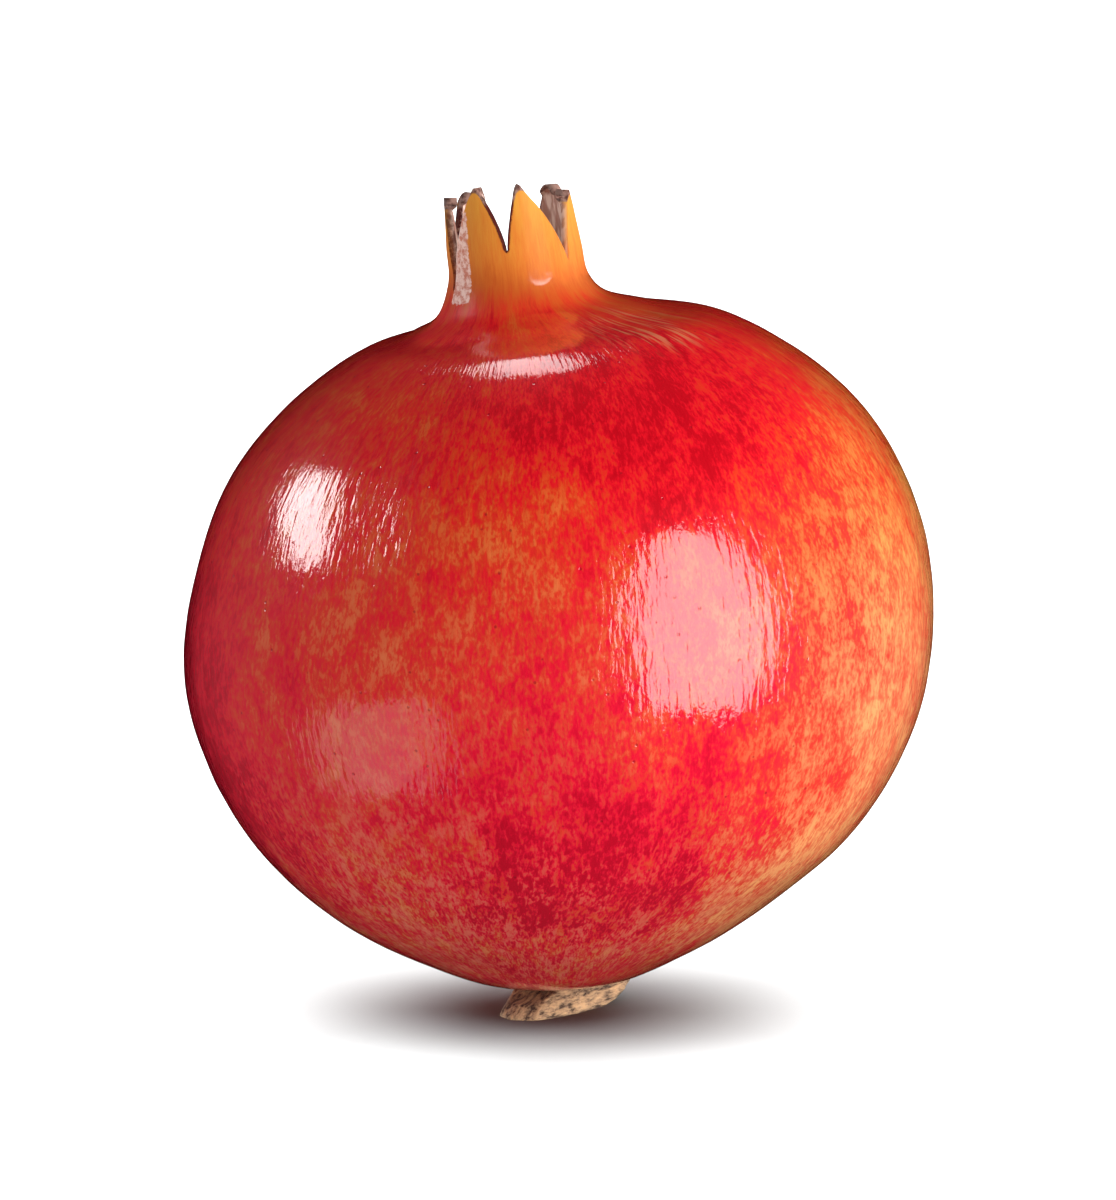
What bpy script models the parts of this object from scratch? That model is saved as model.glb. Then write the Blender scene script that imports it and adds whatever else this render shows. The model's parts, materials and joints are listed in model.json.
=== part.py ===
"""A whole pomegranate that stands on its cut stem.

Metres, +Z up. The front faces -Y and the origin lies on the table, under the middle of the
fruit's box. A turn of 0 degrees points to the front and a turn of 90 degrees to the right, +X.
"""

import math
import random

import bmesh
import bpy
import numpy as np
from mathutils import Matrix, Vector

MM = 0.001
NAME = "pomegranate"
GAP = 0.35 * MM

# The rings of the rind from the stem pole to the tips of the sepals, all in mm but the last:
# height of the ring's middle, its radius, how far the middle lies to the right, and its tilt
# in degrees, right side up.
RIND_RINGS = (
    (3.4, 0.0, -0.9, 1.5),
    (4.3, 9.5, -1.1, 1.5),
    (8.2, 18.2, -1.3, 1.8),
    (14.3, 27.9, -1.1, 2.2),
    (23.0, 37.3, 0.0, 3.0),
    (34.5, 43.8, 0.3, 4.3),
    (47.0, 46.2, -0.3, 5.3),
    (59.0, 44.4, -0.6, 5.5),
    (70.8, 39.0, -1.4, 5.5),
    (79.4, 30.4, -1.9, 5.5),
    (84.2, 22.2, -2.7, 6.5),
    (86.1, 14.8, -4.2, 8.0),
    (88.2, 10.1, -5.1, 8.0),
    (91.0, 8.6, -5.5, 4.0),
    (95.0, 8.25, -6.0, 1.0),
    (99.5, 7.8, -6.5, 0.0),
    (104.0, 7.4, -7.0, 0.0),
)
# Columns of faces round the fruit, the least height of a row of them, and the rows below the
# calyx over which the columns gather under its sepals.
COLUMNS = 60
LEAST_ROW = 1.6 * MM
NECK_ROWS = 9

# The calyx: its wall, the ring from which it splits, and the cup inside it, whose rings are
# given as those of the rind are.
WALL_AT_FOOT = 1.3 * MM
WALL_AT_TIP = 0.8 * MM
SPLIT_HEIGHT = 90.0 * MM
SEPAL_ROWS = 11
CUP_RINGS = (
    (88.7, 7.1, -5.0, 2.0),
    (87.2, 6.0, -5.0, 0.0),
    (87.0, 3.0, -5.0, 0.0),
)
CUP_FLOOR = (87.0, -5.0)
# Each sepal's first and last turn at its foot and the turn of its tip, in degrees, its tip's
# height in mm, the share of the foot's width left at the tip, and how far it leans out, in mm.
SEPALS = (
    (-64.0, -6.6, -32.0, 102.7, 0.16, 0.0),
    (-5.2, 50.2, 10.0, 103.2, 0.16, 0.1),
    (51.6, 106.0, 80.0, 102.0, 0.25, 0.0),
    (108.5, 163.0, 121.0, 102.1, 0.4, -0.2),
    (201.0, 244.0, 223.0, 100.9, 0.45, 0.2),
    (246.5, 293.5, 268.0, 100.8, 0.3, 0.3),
)
# How far down the calyx is split after each of those sepals, in mm above the table.
NOTCH_HEIGHTS = (95.4, 93.6, 94.8, 92.6, 93.0, 90.6)
SEPAL_BEND = 1.35
SEPAL_POINT = 0.88
TIP_DROOP = 0.9 * MM

# Relief of the rind: waves round it as (count, height in mm, turn of a crest in degrees), and
# dents as (turn, height, half-width in degrees, half-height in mm, depth in mm).
WAVES = ((2, 0.25, 75.0), (3, 0.3, 40.0), (6, 0.3, -5.0))
DENTS = (
    (-33.0, 68.0, 7.0, 12.0, 0.28),
    (19.0, 30.0, 6.0, 16.0, 0.35),
    (150.0, 40.0, 14.0, 18.0, 0.6),
    (236.0, 56.0, 12.0, 16.0, 0.5),
)
RELIEF_FROM_RADIUS = 11.0 * MM

# The stem: an oblong of wood cut level, which the fruit stands on.
STUB_LENGTH = 22.0 * MM
STUB_WIDTH = 8.4 * MM
STUB_TURN = 53.0
STUB_MIDDLE = (0.2 * MM, 2.6 * MM)
STUB_LIFT = 2.4 * MM
STUB_LIFT_FROM = 0.15
STUB_NOSE_FROM = 0.4
STUB_NOSE_DROP = 0.55
STUB_COLUMNS = 32
STUB_NECK_SHARE = 0.84
STUB_CHIPS = 0.035
STUB_ROUNDNESS = 0.75
STUB_SEED = 5

# The withered stamens in the cup, round one style.
STAMENS = 90
STAMEN_SEED = 11
STAMEN_THICK = 0.75 * MM
ANTHER_THICK = 1.15 * MM
STAMEN_WANDER = 0.2 * MM
STAMEN_SHARES = (0.5, 0.92)
STAMEN_TOP = 93.8 * MM
TUFT_BASE_RADIUS = 5.0 * MM
TUFT_BASE_HEIGHT = 1.7 * MM
TUFT_FOOT = -0.15
TUFT_ROOTS_FROM = 0.2
TUFT_SPREAD = 1.22
TUFT_SWIRL = (0.25, 0.2)
STYLE_ROOM = 6
STYLE_THICK = 1.5 * MM
STIGMA_THICK = 2.0 * MM
STYLE_FOOT = (0.2 * MM, 0.1 * MM)
INSET = 0.02 * MM


def smooth_step(low, high, value):
    """0 below low, 1 above high, and an even slope at both."""
    share = np.clip((np.asarray(value, float) - low) / (high - low), 0.0, 1.0)
    return share * share * (3.0 - 2.0 * share)


def metres(rings):
    """Rings with their lengths in metres, and their tilt still in degrees."""
    return np.array(rings) * (MM, MM, MM, 1.0)


class RingCurve:
    """A smooth curve through rings, read by the distance along it from the stem pole."""

    def __init__(self, rings):
        self.rings = metres(rings)
        spans = np.hypot(np.diff(self.rings[:, 0]), np.diff(self.rings[:, 1]))
        self.marks = np.concatenate(([0.0], np.cumsum(spans)))
        self.slopes = np.gradient(self.rings, self.marks, axis=0)
        self.slopes[0] = (0.0, 1.0, 0.0, 0.0)
        steps = np.linspace(0.0, self.marks[-1], 3000)
        self.table = np.column_stack((steps, self.at(steps)))

    def at(self, distance):
        """Height, radius, shift and tilt of the ring at a distance."""
        distance = np.atleast_1d(np.asarray(distance, float))
        span = np.clip(np.searchsorted(self.marks, distance, "right") - 1, 0, len(self.marks) - 2)
        length = (self.marks[span + 1] - self.marks[span])[:, None]
        t = (distance - self.marks[span])[:, None] / length
        near = (2 * t**3 - 3 * t**2 + 1) * self.rings[span]
        near += (t**3 - 2 * t**2 + t) * length * self.slopes[span]
        far = (3 * t**2 - 2 * t**3) * self.rings[span + 1]
        far += (t**3 - t**2) * length * self.slopes[span + 1]
        return near + far

    def distance_at_height(self, height):
        """Distance of a ring by its height, which only ever grows along the curve."""
        return np.interp(height, self.table[:, 1], self.table[:, 0])

    def distance_at_radius(self, radius):
        """Distance of a ring by its radius, on the lower half of the fruit."""
        widest = int(np.argmax(self.table[:, 2]))
        return np.interp(radius, self.table[:widest, 2], self.table[:widest, 0])

    def row_distances(self, last, columns, least):
        """Distances of rows that are about as tall as the columns are wide."""
        steps = np.linspace(0.0, last, 3000)
        widths = 2.0 * math.pi * self.at(steps)[:, 1] / columns
        cells = np.cumsum(steps[1] / np.maximum(widths, least))
        rows = int(round(cells[-1]))
        return np.interp(np.linspace(cells[0], cells[-1], rows + 1), cells, steps)


RIND = RingCurve(RIND_RINGS)


def ring_point(rings, turn, radius):
    """Points on rings at a turn in degrees, as an array of rows."""
    turn = np.radians(turn)
    tilt = np.radians(rings[:, 3])
    right = radius * np.sin(turn)
    return np.column_stack(
        (
            rings[:, 2] + right * np.cos(tilt),
            -radius * np.cos(turn),
            rings[:, 0] + right * np.sin(tilt),
        )
    )


def relief(turn, rings):
    """How far the rind stands out from its rings."""
    out = np.zeros(len(rings))
    for count, height, crest in WAVES:
        out += height * MM * np.cos(np.radians(count * (turn - crest)))
    for middle, height, half_turn, half_height, depth in DENTS:
        across = ((turn - middle + 180.0) % 360.0 - 180.0) / half_turn
        along = (rings[:, 0] - height * MM) / (half_height * MM)
        out -= depth * MM * np.exp(-(across**2) - along**2)
    return out * smooth_step(RELIEF_FROM_RADIUS, 2.0 * RELIEF_FROM_RADIUS, rings[:, 1])


def edge_share(height, notch, tip, blunt):
    """How much of its foot's width a sepal keeps at a height, on one side of its tip."""
    rise = np.clip((height - notch * MM) / ((tip - notch) * MM), 0.0, 1.0)
    return blunt + (1.0 - blunt) * (1.0 - rise**SEPAL_BEND) ** SEPAL_POINT


class CrownPlan:
    """Which columns of faces belong to which sepal, and where their edges run."""

    def __init__(self, columns):
        faces_of_turn = columns / 360.0
        knots = [0]
        for k, (first, last, *_) in enumerate(SEPALS):
            following = SEPALS[(k + 1) % len(SEPALS)][0]
            knots.append(knots[-1] + max(2, round((last - first) * faces_of_turn)))
            knots.append(knots[-1] + max(1, round(((following - last) % 360.0) * faces_of_turn)))
        self.knots = np.array(knots, float)
        self.columns = knots[-1]
        turns = [turn for sepal in SEPALS for turn in sepal[:2]]
        self.turns = np.array(turns + [turns[0] + 360.0])
        self.tips = np.array([s[3] * MM for s in SEPALS for _ in range(2)] + [SEPALS[0][3] * MM])

    def foot_turn(self, column):
        """The turn at the calyx's foot, where sepals and gaps have their own widths."""
        return np.interp(column, self.knots, self.turns)

    def tip_height(self, column):
        return np.interp(column, self.knots, self.tips)

    def gap_after(self, column):
        """The number of the gap that a column of faces lies in, or None on a sepal."""
        span = int(np.searchsorted(self.knots, column, "right")) - 1
        return span // 2 if span % 2 else None

    def sepal_turn(self, column, height):
        """Turn and outward lean of points of the sepals at a height."""
        turn = self.foot_turn(column)
        lean = np.zeros(len(turn))
        for k, (first, last, tip_turn, tip, blunt, out) in enumerate(SEPALS):
            low, high = self.knots[2 * k], self.knots[2 * k + 1]
            inside = (column >= low - 0.01) & (column <= high + 0.01)
            if not inside.any():
                continue
            across = (column[inside] - low) / (high - low)
            at = height[inside]
            start = tip_turn - (tip_turn - first) * edge_share(at, NOTCH_HEIGHTS[k - 1], tip, blunt)
            stop = tip_turn + (last - tip_turn) * edge_share(at, NOTCH_HEIGHTS[k], tip, blunt)
            turn[inside] = start + (stop - start) * across
            rise = (at - SPLIT_HEIGHT) / (tip * MM - SPLIT_HEIGHT)
            lean[inside] = out * MM * np.clip(rise, 0.0, 1.0) ** 2
        return turn, lean


def new_collection(name):
    collection = bpy.data.collections.new(name)
    bpy.context.scene.collection.children.link(collection)
    return collection


def new_material(name, colour, roughness):
    material = bpy.data.materials.new(name)
    material.use_nodes = True
    shader = material.node_tree.nodes["Principled BSDF"]
    shader.inputs["Base Color"].default_value = (*colour, 1.0)
    shader.inputs["Roughness"].default_value = roughness
    shader.inputs["Metallic"].default_value = 0.0
    return material


def finished_object(name, bm, collection, material):
    """An object from a bmesh, shaded smooth, with its faces pointing out."""
    bmesh.ops.recalc_face_normals(bm, faces=bm.faces[:])
    mesh = bpy.data.meshes.new(name)
    bm.to_mesh(mesh)
    bm.free()
    mesh.shade_smooth()
    mesh.set_sharp_from_angle(angle=math.radians(50.0))
    mesh.materials.append(material)
    made = bpy.data.objects.new(name, mesh)
    collection.objects.link(made)
    return made


def spun_chart(outlines, columns):
    """Outlines of (radius, row) spun once round, as a plan of the shape to come."""
    bm = bmesh.new()
    for outline in outlines:
        verts = [bm.verts.new((radius, 0.0, row)) for radius, row in outline]
        edges = [bm.edges.new(pair) for pair in zip(verts, verts[1:])]
        bmesh.ops.spin(
            bm,
            geom=verts + edges,
            cent=(0.0, 0.0, 0.0),
            axis=(0.0, 0.0, 1.0),
            angle=2.0 * math.pi,
            steps=columns,
            use_merge=True,
        )
    bmesh.ops.remove_doubles(bm, verts=bm.verts[:], dist=0.001)
    return bm


def chart_values(bm, columns):
    """The column, row and plan radius of each point of a chart."""
    points = np.array([v.co[:] for v in bm.verts])
    column = np.degrees(np.arctan2(points[:, 1], points[:, 0])) % 360.0 * columns / 360.0
    column = np.round(column) % columns
    return column, np.round(points[:, 2]), np.hypot(points[:, 0], points[:, 1])


def cut_gaps(bm, plan, neck_row, top_row):
    """Take away what the chart has between two sepals, above the split."""
    doomed = []
    for face in bm.faces:
        middle = face.calc_center_median()
        if middle.z < neck_row:
            continue
        column = math.degrees(math.atan2(middle.y, middle.x)) % 360.0 * plan.columns / 360.0
        gap = plan.gap_after(column)
        if gap is None:
            continue
        tip = float(plan.tip_height(column))
        split = (NOTCH_HEIGHTS[gap] * MM - SPLIT_HEIGHT) / (tip - SPLIT_HEIGHT)
        if middle.z > neck_row + split * (top_row - neck_row):
            doomed.append(face)
    bmesh.ops.delete(bm, geom=doomed, context="FACES")


def join_rims(bm):
    """Walls between the outer and the inner rim of the chart, which have the same outline."""
    rim = [edge for edge in bm.edges if edge.is_boundary]
    bmesh.ops.bridge_loops(bm, edges=rim)


def shape_fruit(bm, plan, rows, neck_row, top_row):
    """Move each point of the chart to its place on the fruit."""
    column, row, side = chart_values(bm, plan.columns)
    inside = side < 1.5
    crown = row >= neck_row
    share = np.clip((row - neck_row) / (top_row - neck_row), 0.0, 1.0)
    height = SPLIT_HEIGHT + share * (plan.tip_height(column) - SPLIT_HEIGHT)
    sepal_turn, lean = plan.sepal_turn(column, height)
    even_turn = plan.turns[0] + column * 360.0 / plan.columns
    neck = smooth_step(neck_row - NECK_ROWS, neck_row, row)
    turn = np.where(crown, sepal_turn, even_turn + neck * (plan.foot_turn(column) - even_turn))
    distance = np.where(
        crown, RIND.distance_at_height(height), np.interp(row, np.arange(len(rows)), rows)
    )
    rings = RIND.at(distance)
    wall = WALL_AT_FOOT + (WALL_AT_TIP - WALL_AT_FOOT) * share
    radius = rings[:, 1] + relief(turn, rings) + lean - np.where(inside, wall, 0.0)
    places = ring_point(rings, turn, radius)
    places[:, 2] -= TIP_DROOP * share**4 * tip_edge(plan, column)
    cup = metres(CUP_RINGS)
    for k, ring in enumerate(cup):
        at_ring = inside & (row == neck_row - 1 - k) & (side > 0.5)
        places[at_ring] = ring_point(np.tile(ring, (at_ring.sum(), 1)), turn[at_ring], ring[1])
    floor = (side < 0.5) & (row > 0)
    places[floor] = (CUP_FLOOR[1] * MM, 0.0, CUP_FLOOR[0] * MM)
    places[(side < 0.5) & (row == 0)] = (rings[0][2], 0.0, RIND_RINGS[0][0] * MM)
    for vert, place in zip(bm.verts, places):
        vert.co = place


def tip_edge(plan, column):
    """0 along the middle of each sepal and 1 along its two edges."""
    share = np.ones(len(column))
    for k in range(len(SEPALS)):
        low, high = plan.knots[2 * k], plan.knots[2 * k + 1]
        inside = (column >= low) & (column <= high)
        share[inside] = (2.0 * (column[inside] - low) / (high - low) - 1.0) ** 2
    return share


def make_fruit(collection):
    plan = CrownPlan(COLUMNS)
    rows = RIND.row_distances(float(RIND.distance_at_height(SPLIT_HEIGHT)), COLUMNS, LEAST_ROW)
    neck_row = len(rows) - 1
    top_row = neck_row + SEPAL_ROWS
    floor_row = neck_row - len(CUP_RINGS)
    outer = [(0.0, 0)] + [(2.0, row) for row in range(1, top_row + 1)]
    inner = [(1.0, row) for row in range(top_row, floor_row - 1, -1)] + [(0.0, floor_row)]
    bm = spun_chart((outer, inner), plan.columns)
    cut_gaps(bm, plan, neck_row, top_row)
    join_rims(bm)
    shape_fruit(bm, plan, rows, neck_row, top_row)
    bmesh.ops.triangulate(bm, faces=bm.faces[:])
    rind = new_material("rind", (0.56, 0.03, 0.035), 0.3)
    return finished_object("fruit", bm, collection, rind)


def underside(x, y):
    """Height of the fruit's underside near the stem pole."""
    middle = RIND.at(RIND.distance_at_radius(6.0 * MM))[0]
    away = math.hypot(x - middle[2], y)
    ring = RIND.at(RIND.distance_at_radius(away))[0]
    return ring[0] + (x - middle[2]) * math.tan(math.radians(ring[3]))


def make_stub(collection):
    """Wood whose top follows the fruit down to a nose, and whose foot is chipped at the back."""
    draw = random.Random(STUB_SEED)
    chips = [1.0 + STUB_CHIPS * draw.uniform(-1.0, 1.0) for _ in range(STUB_COLUMNS)]
    outline = ((0.0, 0), (0.6, 0), (1.0, 0), (1.0, 1), (STUB_NECK_SHARE, 2))
    outline += ((0.56, 2), (0.28, 2), (0.0, 2))
    bm = spun_chart((outline,), STUB_COLUMNS)
    along = Matrix.Rotation(math.radians(STUB_TURN), 2)
    for vert in bm.verts:
        share = math.hypot(vert.co.x, vert.co.y)
        turn = math.atan2(vert.co.y, vert.co.x)
        chip = chips[round(turn / (2.0 * math.pi) * STUB_COLUMNS) % STUB_COLUMNS]
        cosine, sine = math.cos(turn), math.sin(turn)
        squared = Vector(
            (
                math.copysign(abs(cosine) ** STUB_ROUNDNESS, cosine) * STUB_LENGTH / 2.0,
                math.copysign(abs(sine) ** STUB_ROUNDNESS, sine) * STUB_WIDTH / 2.0,
            )
        )
        place = along @ (squared * share * chip) + Vector(STUB_MIDDLE)
        top = underside(place.x, place.y) - GAP
        end = max(0.0, cosine * share - STUB_LIFT_FROM) / (1.0 - STUB_LIFT_FROM)
        foot = STUB_LIFT * end if share > 0.9 else 0.0
        nose = float(smooth_step(STUB_NOSE_FROM, 1.0, -cosine * share))
        top -= STUB_NOSE_DROP * nose * (top - foot)
        vert.co = (place.x, place.y, foot + (top - foot) * vert.co.z / 2.0)
    bmesh.ops.triangulate(bm, faces=bm.faces[:])
    wood = new_material("stem_wood", (0.36, 0.2, 0.1), 0.8)
    return finished_object("stem_stub", bm, collection, wood)


def grow(bm, face, points, thicks):
    """Draw a face out along points, as a rod that stays part of the body."""
    bmesh.ops.inset_individual(bm, faces=[face], thickness=INSET)
    middle = face.calc_center_median()
    spokes = [(vert.co - middle).normalized() for vert in face.verts]
    for vert, spoke in zip(face.verts, spokes):
        vert.co = middle + spoke * thicks[0] / 2.0
    spokes = [Vector((spoke.x, spoke.y, 0.0)).normalized() for spoke in spokes]
    for point, thick in zip(points, thicks):
        grown = bmesh.ops.extrude_face_region(bm, geom=[face])["geom"]
        bm.faces.remove(face)
        face = next(item for item in grown if isinstance(item, bmesh.types.BMFace))
        for vert, spoke in zip(face.verts, spokes):
            vert.co = point + spoke * thick / 2.0


def stamen_path(root, tall, draw):
    """Points of one stamen: it leans out and turns a little with all the others."""
    out = Vector((root.x, root.y, 0.0))
    swirl = TUFT_SWIRL[0] + TUFT_SWIRL[1] * math.sin(2.0 * math.atan2(out.y, out.x))
    wander = Vector((draw.uniform(-1.0, 1.0), draw.uniform(-1.0, 1.0), 0.0)) * STAMEN_WANDER
    points = []
    for share in (0.35, 0.7, 0.86, 1.0):
        aside = Matrix.Rotation(swirl * share**2, 3, "Z") @ out
        aside *= 1.0 + (TUFT_SPREAD - 1.0) * share**1.5
        points.append(aside + wander * share**2 + Vector((0.0, 0.0, root.z + tall * share)))
    return points


def make_stamens(collection):
    """A low dome on the cup's floor with the stamens drawn out of its faces."""
    draw = random.Random(STAMEN_SEED)
    bm = bmesh.new()
    bmesh.ops.create_icosphere(bm, subdivisions=3, radius=1.0)
    shape = (TUFT_BASE_RADIUS, TUFT_BASE_RADIUS, TUFT_BASE_HEIGHT)
    for vert in bm.verts:
        vert.co = Vector(shape) * Vector((vert.co.x, vert.co.y, max(vert.co.z, TUFT_FOOT)))
    top = [f for f in bm.faces if f.calc_center_median().z > TUFT_ROOTS_FROM * TUFT_BASE_HEIGHT]
    top.sort(key=lambda face: face.calc_center_median().xy.length)
    crowd = draw.sample(top[STYLE_ROOM:], STAMENS)
    height = STAMEN_TOP - CUP_FLOOR[0] * MM - GAP
    for face in crowd:
        root = face.calc_center_median()
        path = stamen_path(root, height * draw.uniform(*STAMEN_SHARES) - root.z, draw)
        grow(bm, face, path, (STAMEN_THICK, STAMEN_THICK, ANTHER_THICK, STAMEN_THICK))
    style = [Vector((*STYLE_FOOT, height * share)) for share in (0.5, 0.8, 0.9, 1.0)]
    grow(bm, top[0], style, (STYLE_THICK, STYLE_THICK, STIGMA_THICK, STYLE_THICK))
    bmesh.ops.dissolve_degenerate(bm, dist=0.001 * MM, edges=bm.edges[:])
    foot = min(vert.co.z for vert in bm.verts)
    floor = Vector((CUP_FLOOR[1] * MM, 0.0, CUP_FLOOR[0] * MM + GAP - foot))
    bmesh.ops.translate(bm, verts=bm.verts[:], vec=floor)
    bmesh.ops.triangulate(bm, faces=bm.faces[:])
    dry = new_material("withered_stamens", (0.16, 0.08, 0.04), 0.9)
    return finished_object("stamens", bm, collection, dry)


def centre_on_table(made):
    """Move the meshes so that the middle of their box is over the origin."""
    points = np.array([v.co[:] for thing in made for v in thing.data.vertices])
    low, high = points.min(axis=0), points.max(axis=0)
    shift = Matrix.Translation((-(low[0] + high[0]) / 2.0, -(low[1] + high[1]) / 2.0, -low[2]))
    for thing in made:
        thing.data.transform(shift)


def main():
    for old in list(bpy.data.objects):
        bpy.data.objects.remove(old)
    collection = new_collection(NAME)
    made = [
        make_fruit(collection),
        make_stub(collection),
        make_stamens(collection),
    ]
    centre_on_table(made)


main()
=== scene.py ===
import json
import math
import random

import bmesh
import bpy
import numpy as np
from bpy.props import FloatProperty, FloatVectorProperty, IntProperty, PointerProperty
from mathutils import Matrix, Vector, noise

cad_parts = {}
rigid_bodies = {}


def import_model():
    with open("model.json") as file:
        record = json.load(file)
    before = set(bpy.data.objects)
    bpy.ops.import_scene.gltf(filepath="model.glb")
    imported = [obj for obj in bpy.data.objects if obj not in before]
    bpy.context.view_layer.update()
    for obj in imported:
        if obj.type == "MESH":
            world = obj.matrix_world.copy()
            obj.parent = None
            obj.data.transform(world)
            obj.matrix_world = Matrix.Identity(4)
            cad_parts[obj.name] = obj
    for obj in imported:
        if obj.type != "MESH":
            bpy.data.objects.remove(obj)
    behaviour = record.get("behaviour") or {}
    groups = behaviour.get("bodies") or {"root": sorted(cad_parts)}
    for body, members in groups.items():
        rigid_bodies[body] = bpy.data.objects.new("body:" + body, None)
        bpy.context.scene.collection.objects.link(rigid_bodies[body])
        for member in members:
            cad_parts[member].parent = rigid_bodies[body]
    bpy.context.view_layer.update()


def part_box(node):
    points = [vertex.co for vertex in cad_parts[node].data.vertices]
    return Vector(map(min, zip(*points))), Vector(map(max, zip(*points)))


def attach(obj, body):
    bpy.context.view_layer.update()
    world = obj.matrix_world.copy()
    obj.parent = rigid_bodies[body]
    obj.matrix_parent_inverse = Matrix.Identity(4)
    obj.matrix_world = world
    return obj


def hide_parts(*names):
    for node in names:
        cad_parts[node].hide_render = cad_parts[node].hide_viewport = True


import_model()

bl_info = {
    "name": "Pomegranate",
    "version": (1, 0, 0),
    "blender": (4, 5, 0),
    "location": "3D View > Sidebar > Pomegranate",
    "description": "A whole pomegranate with its crown, standing on its cut stem",
    "category": "Add Mesh",
}

# A turn of 0 degrees points to the front, -Y, and a turn of 90 degrees to the right, +X.
MM = 0.001

# The rings of the rind from the stem pole to the tips of the sepals: height of the ring's
# middle, its radius and how far the middle lies to the right, in mm, and its tilt in degrees.
RIND_RINGS = (
    (3.4, 0.0, -0.9, 1.5),
    (4.3, 9.5, -1.1, 1.5),
    (8.2, 18.2, -1.3, 1.8),
    (14.3, 27.9, -1.1, 2.2),
    (23.0, 37.3, 0.0, 3.0),
    (34.5, 43.8, 0.3, 4.3),
    (47.0, 46.2, -0.3, 5.3),
    (59.0, 44.4, -0.6, 5.5),
    (70.8, 39.0, -1.4, 5.5),
    (79.4, 30.4, -1.9, 5.5),
    (84.2, 22.2, -2.7, 6.5),
    (86.1, 14.8, -4.2, 8.0),
    (88.2, 10.1, -5.1, 8.0),
    (91.0, 8.6, -5.5, 4.0),
    (95.0, 8.25, -6.0, 1.0),
    (99.5, 7.8, -6.5, 0.0),
    (104.0, 7.4, -7.0, 0.0),
)
WALL_AT_FOOT = 1.3 * MM
WALL_AT_TIP = 0.8 * MM
# The share of a sepal's height above which it is curled and withered, and how much thicker it
# gets there.
TIP_FROM = 0.9
KNOB = 0.8 * MM
# Where the sepals part from the neck, and how many rows below it the columns of faces turn
# little by little to where the sepals need them.
SPLIT_HEIGHT = 90.0 * MM
BLEND_ROWS = 45
CUP_RINGS = ((88.7, 7.1, -5.0, 2.0), (87.2, 6.0, -5.0, 0.0), (87.0, 3.0, -5.0, 0.0))
CUP_FLOOR = (87.0, -5.0)
CALYX_RADIUS = 8.0 * MM
# Each sepal's first and last turn at its foot and the turn of its tip, in degrees, its tip's
# height in mm, the share of the foot's width left at the tip, and how far it leans out, in mm.
SEPALS = (
    (-64.0, -6.6, -32.0, 102.7, 0.14, 0.0),
    (-5.2, 50.2, 10.0, 103.2, 0.14, 0.1),
    (51.6, 106.0, 80.0, 102.0, 0.25, 0.0),
    (108.5, 163.0, 121.0, 102.1, 0.4, -0.2),
    (201.0, 244.0, 223.0, 100.9, 0.45, 0.2),
    (246.5, 293.5, 268.0, 100.8, 0.3, 0.3),
)
NOTCH_HEIGHTS = (95.4, 93.6, 94.8, 92.6, 93.0, 90.6)
# How withered the edges on both sides of those splits are.
WITHERED = (1.0, 0.3, 0.4, 0.7, 0.6, 0.5)
# How bowed a sepal's sides are and how blunt its point is, as powers, how much lower its two
# corners are than its tip, and how wide its withered edge is.
SEPAL_BEND = 1.35
SEPAL_POINT = 0.88
TIP_DROOP = 0.9 * MM
DRY_WIDTH = 0.4 * MM
# The patch where the first sepal has lost its skin, whose pale mottles are also a painted
# reflection of the left strip lamp: where it starts, is whole, starts to fade and ends, in
# degrees and in mm.
PEEL_AND_SHEEN_TURNS = (-66.0, -63.5, -46.0, -36.0)
PEEL_AND_SHEEN_HEIGHTS = (88.0, 90.0, 99.0, 102.0)
# Waves round the rind as (count, height in mm, turn of a crest in degrees), and dents as
# (turn, height, half-width in degrees, half-height in mm, depth in mm).
WAVES = ((2, 0.25, 75.0), (3, 0.3, 40.0), (6, 0.3, -5.0))
DENTS = (
    (-33.0, 68.0, 7.0, 12.0, 0.28),
    (19.0, 30.0, 6.0, 16.0, 0.35),
    (150.0, 40.0, 14.0, 18.0, 0.6),
    (236.0, 56.0, 12.0, 16.0, 0.5),
)
RELIEF_FROM_RADIUS = 11.0 * MM
# Soft undulations of the skin as (size of a hump, height), in mm, the radius of the rings above
# which they are whole, and their share on the crown.
UNDULATIONS = ((9.0, 0.08), (3.4, 0.05), (1.5, 0.014))
UNDULATIONS_FROM_RADIUS = 6.0 * MM
UNDULATIONS_ON_CROWN = 0.6
# The skin's pattern is read from the fruit as it was when small and round: this radius in mm,
# and this share of the length from stem to crown.
YOUNG_RADIUS = 26.0
YOUNG_LENGTH = 0.45
# The two rims of the chart are moved this many rows apart while they are joined, so that the
# direction from one to the other is clear.
RIM_ROWS_APART = 12.0
# Steps in which a ring curve is measured, and the grid of points that gives the rings' box:
# degrees from turn to turn, the number of rings, and how far along the curve they reach.
CURVE_STEPS = 3000
BOX_TURNS = 3.0
BOX_RINGS = 200
BOX_REACH = 140.0 * MM

# The rows of the stem: shares of its outline from the middle of a cut face to its rim, and the
# number of rows up its side.
STUB_FACE = (0.0, 0.3, 0.6, 0.85, 0.96)
STUB_SIDE_ROWS = 11
STUB_COLUMNS = 128
STUB_LENGTH = 22.0 * MM
STUB_WIDTH = 8.4 * MM
STUB_TURN = 53.0
STUB_MIDDLE = (0.2 * MM, 2.6 * MM)
# The outline is an ellipse with this power: under 1 it is squarer.
STUB_ROUNDNESS = 0.75
# How high the foot lifts off at the back end, the top drops to a nose at the front end, and
# from which share of the length on.
STUB_LIFT = 2.4 * MM
STUB_LIFT_FROM = 0.15
STUB_NOSE_FROM = 0.4
STUB_NOSE_DROP = 0.55
# The share of the outline at the top, and the power of the rise by which it narrows.
STUB_NECK_SHARE = 0.84
STUB_TAPER = 1.5
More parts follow.
